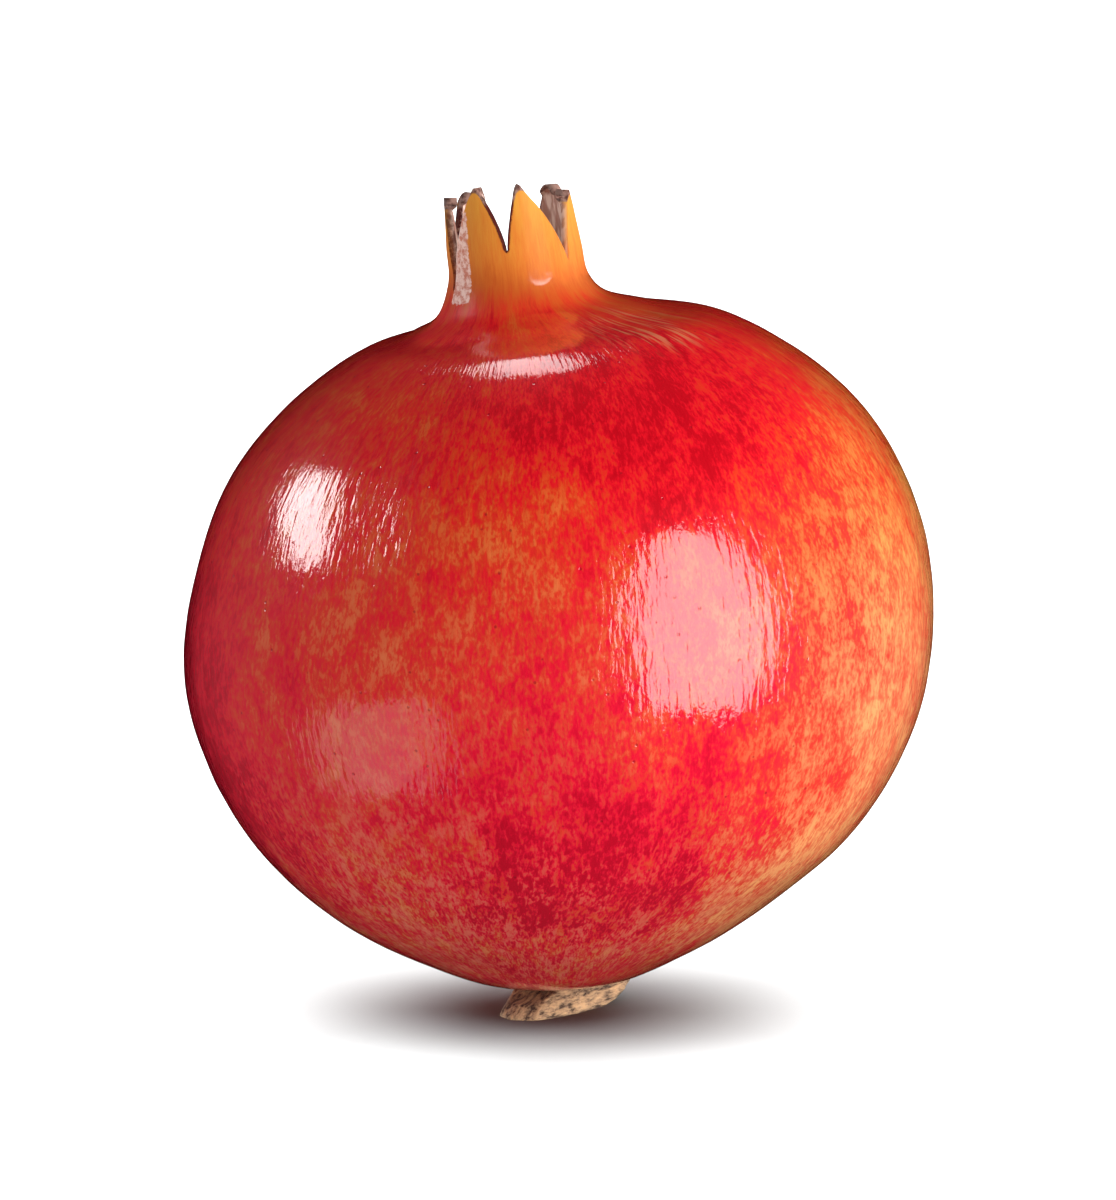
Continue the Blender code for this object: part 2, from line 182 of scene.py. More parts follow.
# Beyond this share of the outline the wood is chipped: chips to a metre, how much of their
# height counts, and their depth.
STUB_RIM_FROM = 0.8
STUB_CHIPS = 700.0
STUB_CHIP_STRETCH = 0.25
STUB_CHIP_DEPTH = 0.35 * MM
STUB_GAP = 0.1 * MM
# The fruit's underside leans about the middle of its ring of this radius.
POLE_RADIUS = 6.0 * MM

# The stamens: the radius of the disc that they stand on, how far out their tips lean, at most
# and in proportion, how far they bow to a side, and the lumpy bed under them.
THREAD_SEED = 11
THREAD_ROOTS = 4.6
THREAD_REACH = 5.9
THREAD_SPREAD = 6.4
THREAD_BOW = 1.1
# Where the points of a thread are from its root to its tip, and its thickness up to its anther.
THREAD_POINTS = (0.0, 0.15, 0.3, 0.45, 0.6, 0.72, 0.82, 0.87, 0.92, 0.97, 1.0)
THREAD_THICKS = (1.0, 0.95, 0.9, 0.85, 0.8, 0.75, 0.7)
STYLE_POINTS = (0.0, 0.25, 0.5, 0.75, 0.92, 1.0)
STYLE_THICKS = (1.5, 1.2, 1.0, 1.0, 1.5, 1.3)
BED_SIZE = (5.0, 5.0, 1.7)
BED_RISE = 0.3 * MM

# The photograph: its size in pixels, millimetres to a pixel at the fruit, and the camera.
PHOTO = (1116, 1200)
MM_PER_PIXEL = 0.12267
CAMERA_DISTANCE = 1.1
CAMERA_RISE = 9.0
CAMERA_TARGET = (-0.1 * MM, 0.0, 51.2 * MM)
SENSOR_WIDTH = 36.0


def linear(red, green, blue):
    """A colour as read from the photograph, 0 to 255, in linear light."""
    return tuple(((c / 255.0 + 0.055) / 1.055) ** 2.4 for c in (red, green, blue))


def colour_property(name, description, colour):
    return FloatVectorProperty(
        name=name,
        description=description,
        subtype="COLOR",
        size=3,
        min=0.0,
        max=1.0,
        default=linear(*colour),
    )


class POMEGRANATE_PG_rind(bpy.types.PropertyGroup):
    columns: IntProperty(
        name="Columns", description="Columns of faces round the fruit", default=288, min=60
    )
    least_row: FloatProperty(
        name="Least row", description="Least height of a row of faces", unit="LENGTH",
        default=0.5 * MM, min=0.1 * MM,
    )
    sepal_rows: IntProperty(
        name="Sepal rows", description="Rows of faces from the split to a tip", default=44, min=8
    )
    crimson: colour_property("Crimson", "The reddest skin", (212, 14, 46))
    scarlet: colour_property("Scarlet", "The skin between red and orange", (207, 54, 38))
    orange: colour_property("Orange", "The pale side of the skin", (210, 100, 64))
    yellow: colour_property("Yellow", "Lightest flecks of the skin", (222, 146, 90))
    coral: colour_property("Coral", "Lighter skin near the stem", (218, 92, 88))
    neck: colour_property("Neck", "Foot of the calyx", (182, 78, 28))
    calyx: colour_property("Calyx", "Outside of the sepals", (204, 112, 42))
    dry_edge: colour_property("Dry edge", "Withered edge of a sepal", (82, 30, 26))
    lining: colour_property("Lining", "Inside of the sepals", (196, 146, 130))


class POMEGRANATE_PG_stem(bpy.types.PropertyGroup):
    wood: colour_property("Wood", "Cut wood of the stem", (150, 118, 88))
    dark_wood: colour_property("Dark wood", "Cracks and bark of the stem", (66, 46, 34))


class POMEGRANATE_PG_stamens(bpy.types.PropertyGroup):
    count: IntProperty(name="Count", description="Stamens in the crown", default=190, min=10)
    thick: FloatProperty(
        name="Thickness", description="Thickness of a thread", unit="LENGTH", default=0.34 * MM
    )
    thread: colour_property("Thread", "Withered threads", (128, 84, 52))
    anther: colour_property("Anther", "Dry anthers", (176, 132, 78))


class POMEGRANATE_PG_stage(bpy.types.PropertyGroup):
    sky: FloatProperty(name="Sky", description="Light from the sides", default=0.97, min=0.0)
    floor: FloatProperty(name="Floor", description="Paleness of the floor", default=0.15, min=0.0)
    floor_light: FloatProperty(
        name="Floor light", description="Brightness of the lamps over the floor", default=9.8
    )


GROUPS = {
    "pomegranate_rind": POMEGRANATE_PG_rind,
    "pomegranate_stem": POMEGRANATE_PG_stem,
    "pomegranate_stamens": POMEGRANATE_PG_stamens,
    "pomegranate_stage": POMEGRANATE_PG_stage,
}


def smooth_step(low, high, value):
    """0 below low, 1 above high, and an even slope at both."""
    share = np.clip((np.asarray(value, float) - low) / (high - low), 0.0, 1.0)
    return share * share * (3.0 - 2.0 * share)


def metres(rings):
    """Rings with their lengths in metres, and their tilt still in degrees."""
    return np.array(rings) * (MM, MM, MM, 1.0)


class RingCurve:
    """A smooth curve through rings, read by the distance along it from the stem pole."""

    def __init__(self, rings):
        self.rings = metres(rings)
        spans = np.hypot(np.diff(self.rings[:, 0]), np.diff(self.rings[:, 1]))
        self.marks = np.concatenate(([0.0], np.cumsum(spans)))
        self.slopes = np.gradient(self.rings, self.marks, axis=0)
        self.slopes[0] = (0.0, 1.0, 0.0, 0.0)
        steps = np.linspace(0.0, self.marks[-1], CURVE_STEPS)
        self.table = np.column_stack((steps, self.at(steps)))

    def at(self, distance):
        """Height, radius, shift and tilt of the ring at a distance."""
        distance = np.atleast_1d(np.asarray(distance, float))
        span = np.clip(np.searchsorted(self.marks, distance, "right") - 1, 0, len(self.marks) - 2)
        length = (self.marks[span + 1] - self.marks[span])[:, None]
        t = (distance - self.marks[span])[:, None] / length
        near = (2 * t**3 - 3 * t**2 + 1) * self.rings[span]
        near += (t**3 - 2 * t**2 + t) * length * self.slopes[span]
        far = (3 * t**2 - 2 * t**3) * self.rings[span + 1]
        far += (t**3 - t**2) * length * self.slopes[span + 1]
        return near + far

    def distance_at_height(self, height):
        return np.interp(height, self.table[:, 1], self.table[:, 0])

    def distance_at_radius(self, radius):
        """Distance of a ring by its radius, on the lower half of the fruit."""
        widest = int(np.argmax(self.table[:, 2]))
        return np.interp(radius, self.table[:widest, 2], self.table[:widest, 0])

    def row_distances(self, last, columns, least):
        """Distances of rows that are about as tall as the columns are wide."""
        steps = np.linspace(0.0, last, CURVE_STEPS)
        widths = 2.0 * math.pi * self.at(steps)[:, 1] / columns
        cells = np.cumsum(steps[1] / np.maximum(widths, least))
        rows = int(round(cells[-1]))
        return np.interp(np.linspace(cells[0], cells[-1], rows + 1), cells, steps)


RIND = RingCurve(RIND_RINGS)


def ring_point(rings, turn, radius):
    """Points on rings at a turn in degrees, as an array of rows."""
    turn = np.radians(turn)
    tilt = np.radians(rings[:, 3])
    right = radius * np.sin(turn)
    return np.column_stack(
        (
            rings[:, 2] + right * np.cos(tilt),
            -radius * np.cos(turn),
            rings[:, 0] + right * np.sin(tilt),
        )
    )


def apart(turn, middle):
    """Degrees from a middle to a turn, the short way round."""
    return (turn - middle + 180.0) % 360.0 - 180.0


def relief(turn, rings):
    """How far the rind stands out from its rings."""
    out = np.zeros(len(rings))
    for count, height, crest in WAVES:
        out += height * MM * np.cos(np.radians(count * (turn - crest)))
    for middle, height, half_turn, half_height, depth in DENTS:
        across = apart(turn, middle) / half_turn
        along = (rings[:, 0] - height * MM) / (half_height * MM)
        out -= depth * MM * np.exp(-(across**2) - along**2)
    return out * smooth_step(RELIEF_FROM_RADIUS, 2.0 * RELIEF_FROM_RADIUS, rings[:, 1])


def frame_shift():
    """From the rings' own axes to the frame, whose origin is under the middle of the box."""
    turns, distances = np.meshgrid(
        np.arange(0.0, 360.0, BOX_TURNS), np.linspace(0.0, BOX_REACH, BOX_RINGS)
    )
    rings = RIND.at(distances.ravel())
    points = ring_point(rings, turns.ravel(), rings[:, 1] + relief(turns.ravel(), rings))
    low, high = (np.array(corner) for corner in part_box("fruit"))
    shift = (low + high - points.min(axis=0) - points.max(axis=0)) / 2.0
    return np.array((shift[0], shift[1], 0.0))


SHIFT = frame_shift()


def edge_share(height, notch, tip, blunt):
    """How much of its foot's width a sepal keeps at a height, on one side of its tip."""
    rise = np.clip((height - notch * MM) / ((tip - notch) * MM), 0.0, 1.0)
    return blunt + (1.0 - blunt) * (1.0 - rise**SEPAL_BEND) ** SEPAL_POINT


class CrownPlan:
    """Which columns of faces belong to which sepal, and where their edges run."""

    def __init__(self, columns):
        faces_of_turn = columns / 360.0
        knots = [0]
        for k, (first, last, *_) in enumerate(SEPALS):
            following = SEPALS[(k + 1) % len(SEPALS)][0]
            knots.append(knots[-1] + max(2, round((last - first) * faces_of_turn)))
            knots.append(knots[-1] + max(1, round(((following - last) % 360.0) * faces_of_turn)))
        self.knots = np.array(knots, float)
        self.columns = knots[-1]
        turns = [turn for sepal in SEPALS for turn in sepal[:2]]
        self.turns = np.array(turns + [turns[0] + 360.0])
        self.tips = np.array([s[3] * MM for s in SEPALS for _ in range(2)] + [SEPALS[0][3] * MM])

    def foot_turn(self, column):
        """The turn at the calyx's foot, where sepals and gaps have their own widths."""
        return np.interp(column, self.knots, self.turns)

    def tip_height(self, column):
        return np.interp(column, self.knots, self.tips)

    def gap_after(self, column):
        """The number of the gap that a column of faces lies in, or None on a sepal."""
        span = int(np.searchsorted(self.knots, column, "right")) - 1
        return span // 2 if span % 2 else None

    def sepals_at(self, column, height):
        """Turn, outward lean, distance from the middle and dryness of points at a height."""
        turn = self.foot_turn(column)
        lean = np.zeros(len(turn))
        middle = np.ones(len(turn))
        dry = np.zeros(len(turn))
        for k, (first, last, tip_turn, tip, blunt, out) in enumerate(SEPALS):
            low, high = self.knots[2 * k], self.knots[2 * k + 1]
            slit = (column > high) & (column < self.knots[2 * k + 2])
            depth = np.maximum(NOTCH_HEIGHTS[k] * MM - height[slit], 0.0)
            dry[slit] = WITHERED[k] * np.exp(-depth / DRY_WIDTH)
            inside = (column >= low - 0.01) & (column <= high + 0.01)
            across = (column[inside] - low) / (high - low)
            at = height[inside]
            before, after = NOTCH_HEIGHTS[k - 1], NOTCH_HEIGHTS[k]
            start = tip_turn - (tip_turn - first) * edge_share(at, before, tip, blunt)
            stop = tip_turn + (last - tip_turn) * edge_share(at, after, tip, blunt)
            turn[inside] = start + (stop - start) * across
            rise = (at - SPLIT_HEIGHT) / (tip * MM - SPLIT_HEIGHT)
            lean[inside] = out * MM * np.clip(rise, 0.0, 1.0) ** 2
            arc = np.radians(stop - start) * CALYX_RADIUS
            left = np.hypot(arc * across, np.maximum(before * MM - at, 0.0))
            right = np.hypot(arc * (1.0 - across), np.maximum(after * MM - at, 0.0))
            left = WITHERED[k - 1] * np.exp(-left / DRY_WIDTH)
            right = WITHERED[k] * np.exp(-right / DRY_WIDTH)
            dry[inside] = np.maximum(left, right)
            middle[inside] = (2.0 * across - 1.0) ** 2
        return turn, lean, middle, dry


def rolled_chart(walls, columns):
    """Walls of (plan radius, first row, last row, closed rows), each a grid rolled up.

    They are the plan of a shape to come. A closed row is drawn together to one point.
    """
    bm = bmesh.new()
    for radius, first, last, closed in walls:
        whole = Matrix.Diagonal((columns, last - first, 1.0, 1.0))
        made = bmesh.ops.create_grid(
            bm, x_segments=columns, y_segments=last - first, size=0.5, matrix=whole
        )
        for vert in made["verts"]:
            turn = 2.0 * math.pi * vert.co.x / columns
            row = round(vert.co.y + (first + last) / 2.0)
            away = 0.0 if row in closed else radius
            vert.co = (away * math.cos(turn), away * math.sin(turn), row)
    bmesh.ops.remove_doubles(bm, verts=bm.verts[:], dist=0.001)
    return bm


def chart_values(bm, columns):
    """The column, row and plan radius of each point of a chart."""
    points = np.array([v.co[:] for v in bm.verts])
    column = np.degrees(np.arctan2(points[:, 1], points[:, 0])) % 360.0 * columns / 360.0
    column = np.round(column) % columns
    return column, np.round(points[:, 2]), np.hypot(points[:, 0], points[:, 1])


def join_rims(bm):
    """Walls between the outer and the inner rim of the chart, which have the same outline."""
    inner = [vert for vert in bm.verts if vert.co.xy.length < 1.5]
    apart_rows = Vector((0.0, 0.0, RIM_ROWS_APART))
    bmesh.ops.translate(bm, verts=inner, vec=apart_rows)
    bmesh.ops.bridge_loops(bm, edges=[edge for edge in bm.edges if edge.is_boundary])
    bmesh.ops.translate(bm, verts=inner, vec=-apart_rows)


def cut_gaps(bm, plan, neck_row, top_row):
    """Take away what the chart has between two sepals, above the split."""
    doomed = []
    for face in bm.faces:
        middle = face.calc_center_median()
        if middle.z < neck_row:
            continue
        column = math.degrees(math.atan2(middle.y, middle.x)) % 360.0 * plan.columns / 360.0
        gap = plan.gap_after(column)
        if gap is None:
            continue
        tip = float(plan.tip_height(column))
        split = (NOTCH_HEIGHTS[gap] * MM - SPLIT_HEIGHT) / (tip - SPLIT_HEIGHT)
        if middle.z > neck_row + split * (top_row - neck_row):
            doomed.append(face)
    bmesh.ops.delete(bm, geom=doomed, context="FACES")


def undulation(points):
    """Soft humps of the skin, for each point."""
    return np.array(
        [
            sum(height * noise.noise(Vector(point) * 1000.0 / size) for size, height in UNDULATIONS)
            for point in points
        ]
    ) * MM


def within(limits, value):
    """1 between the two inner limits, and 0 beyond the outer ones."""
    start, whole, fading, stop = limits
    return smooth_step(start, whole, value) * smooth_step(stop, fading, value)


def peel_and_sheen_at(turn, height):
    """Where the left side of the first sepal has lost its skin, painted pale, which also stands in
    for a reflection of the left strip lamp.
    """
    return within(PEEL_AND_SHEEN_TURNS, apart(turn, 0.0)) * within(PEEL_AND_SHEEN_HEIGHTS, height / MM)


def shape_fruit(bm, plan, rows, neck_row, top_row):
    """Move each point of the chart to its place, and give what the material reads."""
    column, row, side = chart_values(bm, plan.columns)
    inside = side < 1.5
    crown = row >= neck_row
    share = np.clip((row - neck_row) / (top_row - neck_row), 0.0, 1.0)
    height = SPLIT_HEIGHT + share * (plan.tip_height(column) - SPLIT_HEIGHT)
    sepal_turn, lean, middle, dry = plan.sepals_at(column, height)
    even_turn = plan.turns[0] + column * 360.0 / plan.columns
    neck = smooth_step(neck_row - BLEND_ROWS, neck_row, row)
    turn = np.where(crown, sepal_turn, even_turn + neck * (plan.foot_turn(column) - even_turn))
    distance = np.where(
        crown, RIND.distance_at_height(height), np.interp(row, np.arange(len(rows)), rows)
    )
    rings = RIND.at(distance)
    wall = WALL_AT_FOOT + (WALL_AT_TIP - WALL_AT_FOOT) * share
    wall += KNOB * smooth_step(TIP_FROM, 1.0, share)
    radius = rings[:, 1] + relief(turn, rings) + lean
    skin = ring_point(rings, turn, radius)
    bumps = undulation(skin) * smooth_step(0.0, UNDULATIONS_FROM_RADIUS, rings[:, 1])
    radius += np.where(crown, UNDULATIONS_ON_CROWN, 1.0) * bumps - np.where(inside, wall, 0.0)
    places = ring_point(rings, turn, radius)
    places[:, 2] -= TIP_DROOP * share**4 * middle
    cup = metres(CUP_RINGS)
    for k, ring in enumerate(cup):
        at_ring = inside & (row == neck_row - 1 - k) & (side > 0.5)
        places[at_ring] = ring_point(np.tile(ring, (at_ring.sum(), 1)), turn[at_ring], ring[1])
    floor = (side < 0.5) & (row > 0)
    places[floor] = (CUP_FLOOR[1] * MM, 0.0, CUP_FLOOR[0] * MM)
    places[(side < 0.5) & (row == 0)] = (rings[0][2], 0.0, RIND_RINGS[0][0] * MM)
    places += SHIFT
    for vert, place in zip(bm.verts, places):
        vert.co = place
    radians = np.radians(turn)
    young = (
        np.sin(radians) * YOUNG_RADIUS,
        -np.cos(radians) * YOUNG_RADIUS,
        distance / MM * YOUNG_LENGTH,
    )
    return {
        "young": np.column_stack(young),
        "lining": (inside | (side < 0.5) & (row > 0)).astype(float),
        "dry": np.where(crown, np.maximum(dry, smooth_step(TIP_FROM, 1.0, share)), 0.0),
        "rise": np.where(crown, share, 0.0),
        "peel_and_sheen": peel_and_sheen_at(turn, rings[:, 0]),
    }


def set_attributes(mesh, values):
    """Store values for each point of a mesh under their names."""
    for name, column in values.items():
        kind = "FLOAT_VECTOR" if column.ndim == 2 else "FLOAT"
        attribute = mesh.attributes.new(name, kind, "POINT")
        field = "vector" if column.ndim == 2 else "value"
        attribute.data.foreach_set(field, np.ascontiguousarray(column, float).ravel())


def finished_piece(name, bm, material, values=None):
    """An object from a bmesh, with its faces pointing out and shaded smooth."""
    bmesh.ops.recalc_face_normals(bm, faces=bm.faces[:])
    mesh = bpy.data.meshes.new(name)
    bm.to_mesh(mesh)
    bm.free()
    mesh.shade_smooth()
    if values:
        set_attributes(mesh, values)
    mesh.materials.append(material)
    piece = bpy.data.objects.new(name, mesh)
    bpy.context.scene.collection.objects.link(piece)
    return piece


class Paint:
    """A material, built one node after another."""

    def __init__(self, name):
        self.material = bpy.data.materials.new(name)
        self.material.use_nodes = True
        self.tree = self.material.node_tree
        self.shader = self.tree.nodes["Principled BSDF"]

    def set(self, socket, value):
        if isinstance(value, bpy.types.NodeSocket):
            self.tree.links.new(value, socket)
        elif isinstance(value, tuple) and len(value) == 3 and socket.type == "RGBA":
            socket.default_value = (*value, 1.0)
        else:
            socket.default_value = value

    def add(self, kind, sockets=None, output=0, **settings):
        """A node with its settings and sockets set, and one of its outputs."""
        made = self.tree.nodes.new("ShaderNode" + kind)
        for name, value in settings.items():
            setattr(made, name, value)
        for key, value in (sockets or {}).items():
            self.set(made.inputs[key], value)
        return made.outputs[output]

    def finish(self, **sockets):
        """Set the shader's own sockets, named with underscores for spaces."""
        for name, value in sockets.items():
            self.set(self.shader.inputs[name.replace("_", " ")], value)
        return self.material

    def attribute(self, name, output="Fac"):
        return self.add("Attribute", output=output, attribute_name=name)

    def math(self, operation, first, second):
        return self.add("Math", {0: first, 1: second}, operation=operation)

    def total(self, *terms):
        """The sum of values, each times its weight."""
        so_far = 0.0
        for value, weight in terms:
            so_far = self.add(
                "Math", {0: value, 1: weight, 2: so_far}, operation="MULTIPLY_ADD"
            )
        return so_far

    def step(self, value, low, high, start=0.0, stop=1.0):
        """From start below low to stop above high, with an even slope at both."""
        sockets = {"Value": value, "From Min": low, "From Max": high}
        sockets.update({"To Min": start, "To Max": stop})
        return self.add("MapRange", sockets, interpolation_type="SMOOTHSTEP")

    def noise(self, place, scale, detail=2.0, roughness=0.5, distortion=0.0):
        sockets = {
            "Vector": place,
            "Scale": scale,
            "Detail": detail,
            "Roughness": roughness,
            "Distortion": distortion,
        }
        return self.add("TexNoise", sockets)

    def stretched(self, place, *factors):
        return self.add("VectorMath", {0: place, 1: factors}, operation="MULTIPLY")

    def millimetres(self):
        """Object coordinates in mm."""
        place = self.add("TexCoord", output="Object")
        return self.stretched(place, 1000.0, 1000.0, 1000.0)

    def near(self, place, middle, far, close):
        """1 within a distance of a point, and 0 beyond a greater distance."""
        away = self.add("VectorMath", {0: place, 1: middle}, output=1, operation="DISTANCE")
        return self.step(away, far, close)

    def along(self, place, *direction):
        """How far a place lies along a direction."""
        return self.add("VectorMath", {0: place, 1: direction}, output=1, operation="DOT_PRODUCT")

    def mix(self, share, first, second, blend="MIX"):
        sockets = {0: share, 6: first, 7: second}
        return self.add("Mix", sockets, output=2, data_type="RGBA", blend_type=blend)

    def ramp(self, value, *stops):
        """Colours at places from 0 to 1."""
        out = self.add("ValToRGB", {0: value})
        ramp = out.node.color_ramp
        while len(ramp.elements) < len(stops):
            ramp.elements.new(1.0)
        for element, (place, colour) in zip(ramp.elements, stops):
            element.position = place
            element.color = (*colour, 1.0)
        return out

    def bump(self, height, distance, strength):
        return self.add("Bump", {"Height": height, "Distance": distance, "Strength": strength})


# Colours of the rind that stay the same whatever its main colours are.
DEEP_RED = linear(180, 4, 34)
PORE = linear(120, 14, 24)
CORK = linear(206, 146, 100)
SEPAL_FOOT = linear(176, 74, 28)
SEPAL_TIP = linear(210, 144, 54)
LINING_FIBRE = linear(246, 216, 200)
# Peeled skin of the first sepal; the pale colour is also a painted reflection of the left strip
# lamp.
PEELED_DARK = linear(196, 124, 108)
PEELED_PALE_AND_SHEEN = linear(238, 208, 198)
CURLED_DARK = linear(96, 62, 54)
CURLED_PALE = linear(158, 122, 110)
# The upper skin is warmer: its colour is multiplied by this.
WARMTH = (0.97, 1.0, 0.5, 1.0)

# Heights in mm between which one finish turns into another, from the first to the second.
UNDERSIDE = (38.0, 12.0)
SHOULDERS = (58.0, 82.0)
WARM_SKIN = (44.0, 72.0)
SKIN_TO_NECK = (88.5, 94.0)
NECK_TO_SEPAL = (88.0, 95.0)
EVEN_NECK = (91.0, 86.0)
DULL_CALYX = (93.0, 95.5)

# Redder and paler places of the skin: the middle, the distances at which each starts and is
# whole, all in mm, and what it adds to the tone.
TONE_SPOTS = (
    ((4.0, -38.0, 22.0), 20.0, 8.0, -0.25),
    ((8.0, -26.0, 76.0), 24.0, 8.0, -0.16),
    ((-10.0, -43.0, 57.0), 24.0, 8.0, 0.1),
    ((25.0, -23.0, 19.0), 16.0, 6.0, 0.14),
    ((-32.0, -21.0, 24.0), 16.0, 6.0, -0.1),
)
# Corky streaks on the right shoulder, and a duller patch left of the calyx's foot, as above.
CORK_SPOT = ((11.0, -13.0, 87.0), 10.0, 4.0)
DULL_SPOT = ((-12.0, -7.0, 89.5), 9.0, 6.0)
# Depth of the leather's relief in metres, for each mm of distance from the fruit's axis.
LEATHER_DEPTH = 0.0000029


class RindPaint(Paint):
    """The finish of the fruit from its skin to the lining of its crown."""

    def __init__(self, look):
        super().__init__("rind")
        self.look = look
        self.place = self.millimetres()
        self.young = self.attribute("young", "Vector")
        self.height = self.along(self.place, 0.0, 0.0, 1.0)
        self.rise = self.attribute("rise")
        self.clouds = self.noise(self.young, 0.36, 3.0, 0.65, 0.4)
        streaks = self.stretched(self.young, 1.0, 1.0, 0.7)
        self.flecks = self.noise(streaks, 1.9, 3.0, 0.65, 0.4)
        self.grains = self.noise(streaks, 4.6, 2.0)
        self.ragged = self.noise(self.place, 1.3, 3.0, 0.7)
        pores = self.add("TexVoronoi", {"Vector": self.place, "Scale": 0.42}, feature="F1")
        self.pore = self.step(pores, 0.1, 0.04)
        self.inside = self.attribute("lining")
        uneven = self.step(self.ragged, 0.3, 0.6, 0.85, 1.1)
        self.dry = self.step(self.math("MULTIPLY", self.attribute("dry"), uneven), 0.36, 0.64)
        # The peeled patch, whose pale mottles also carry a painted reflection of the left strip
        # lamp.
        peel_and_sheen = self.total((self.attribute("peel_and_sheen"), 0.9), (self.ragged, 0.9))
        self.peel_and_sheen = self.step(peel_and_sheen, 1.0, 1.15)

    def tone(self):
        """0 where the skin is reddest, and 1 where it is palest."""
        patches = self.noise(self.young, 0.08, 3.0, 0.6)
        right = self.step(self.along(self.place, 0.9, 0.2, -0.2), -4.0, 31.0)
        left = self.step(self.along(self.place, -1.0, 0.0, -0.1), 28.0, 46.0)
        under = self.step(self.height, *UNDERSIDE)
        over = self.step(self.height, *SHOULDERS)
        spots = [(self.near(self.place, *where), gain) for *where, gain in TONE_SPOTS]
        tone = self.total(
            (right, 0.46), (under, 0.08), (over, -0.04), *spots, (left, -0.5),
            (patches, 0.5), (self.clouds, 0.5), (-0.17, 1.0),
        )
        specks = self.total((self.flecks, 0.9), (self.grains, 0.6), (self.clouds, 0.35))
        specks = self.step(specks, 0.74, 1.12, -0.5, 0.5)
        gain = self.total((right, 0.08), (under, 0.3), (1.0, 0.28))
        sockets = {0: specks, 1: gain, 2: tone}
        return self.add("Math", sockets, operation="MULTIPLY_ADD", use_clamp=True)

    def skin(self):
        """Crimson to orange, with coral near the stem, a warm top, pores and cork."""
        look = self.look
        tone = self.tone()
        skin = self.ramp(
            tone, (0.0, DEEP_RED), (0.2, tuple(look.crimson)), (0.42, tuple(look.scarlet)),
            (0.66, tuple(look.orange)), (1.0, tuple(look.yellow)),
        )
        coral = self.step(self.along(self.place, -0.2, -0.55, -0.75), -12.0, 10.0)
        blotches = self.step(self.noise(self.young, 0.6, 3.0), 0.38, 0.6)
        coral = self.math("MULTIPLY", coral, blotches)
        coral = self.math("MULTIPLY", coral, self.step(tone, 0.15, 0.5))
        skin = self.mix(self.math("MULTIPLY", coral, 0.6), skin, tuple(look.coral))
        skin = self.mix(self.step(self.height, *WARM_SKIN), skin, WARMTH, "MULTIPLY")
        skin = self.mix(self.math("MULTIPLY", self.pore, 0.55), skin, PORE)
        cork = self.noise(self.stretched(self.young, 1.0, 1.0, 0.25), 1.3, 2.0, 0.6)
        cork = self.step(cork, 0.5, 0.62)
        cork = self.math("MULTIPLY", cork, self.near(self.place, *CORK_SPOT))
        return self.mix(self.math("MULTIPLY", cork, 0.5), skin, CORK)

    def calyx(self):
        """The outside of the neck and the sepals."""
        sepal = self.ramp(
            self.total((self.rise, 0.5), (self.flecks, 0.35), (self.clouds, 0.5)),
            (0.3, SEPAL_FOOT), (0.55, tuple(self.look.calyx)), (0.95, SEPAL_TIP),
        )
        return self.mix(self.step(self.height, *NECK_TO_SEPAL), tuple(self.look.neck), sepal)

    def lining(self):
        """The fibrous inside of the sepals."""
        fibres = self.noise(self.stretched(self.place, 1.0, 1.0, 0.15), 1.6, 2.0)
        return self.mix(self.step(fibres, 0.4, 0.6), tuple(self.look.lining), LINING_FIBRE)

    def withered(self):
        """The dry edges of the sepals, paler at the curled tips."""
        curled = self.mix(self.step(self.ragged, 0.35, 0.6), CURLED_DARK, CURLED_PALE)
        return self.mix(self.step(self.rise, 0.86, 0.93), tuple(self.look.dry_edge), curled)

    def colour(self):
        neck = self.step(self.total((self.height, 1.0), (self.clouds, 5.0)), *SKIN_TO_NECK)
        colour = self.mix(neck, self.skin(), self.calyx())
        colour = self.mix(self.inside, colour, self.lining())
        colour = self.mix(self.dry, colour, self.withered())
        # Peeled skin in dark and pale mottles; the pale ones are also a painted reflection.
        bare_and_sheen = self.mix(self.step(self.ragged, 0.36, 0.6), PEELED_DARK, PEELED_PALE_AND_SHEEN)
        return self.mix(self.math("MULTIPLY", self.peel_and_sheen, 0.85), colour, bare_and_sheen)

    def leather(self):
        """Fine relief, as steep near the axis as far from it."""
        ridges = self.noise(self.stretched(self.young, 1.0, 1.0, 0.3), 2.2, 1.5, 0.5, 0.3)
        relief = self.total(
            (self.flecks, 0.5), (self.grains, 0.3), (ridges, 1.3), (self.pore, -0.4)
        )
        below = self.step(self.height, *EVEN_NECK)
        relief = self.math("MULTIPLY", relief, self.step(below, 0.0, 1.0, 0.35, 1.0))
        flat = self.stretched(self.place, 1.0, 1.0, 0.0)
        reach = self.add("VectorMath", {0: flat}, output=1, operation="LENGTH")
        return self.bump(self.math("MULTIPLY", relief, reach), LEATHER_DEPTH, 0.5)

    def dullness(self):
        """1 where the fruit has no waxy gloss."""
        dull = self.math("MAXIMUM", self.math("MAXIMUM", self.inside, self.dry), self.peel_and_sheen)
        calyx = self.step(self.total((self.height, 1.0), (self.ragged, 5.0)), *DULL_CALYX)
        dull = self.math("MAXIMUM", dull, calyx)
        return self.math("MAXIMUM", dull, self.near(self.place, *DULL_SPOT))


def rind_material(look):
    paint = RindPaint(look)
    normal = paint.leather()
    return paint.finish(
        Base_Color=paint.colour(),
        Roughness=0.4,
        Specular_IOR_Level=0.05,
        Normal=normal,
        Coat_Weight=paint.step(paint.dullness(), 0.0, 1.0, 1.0, 0.03),
        Coat_IOR=1.5,
        Coat_Roughness=0.07,
        Coat_Normal=normal,
    )


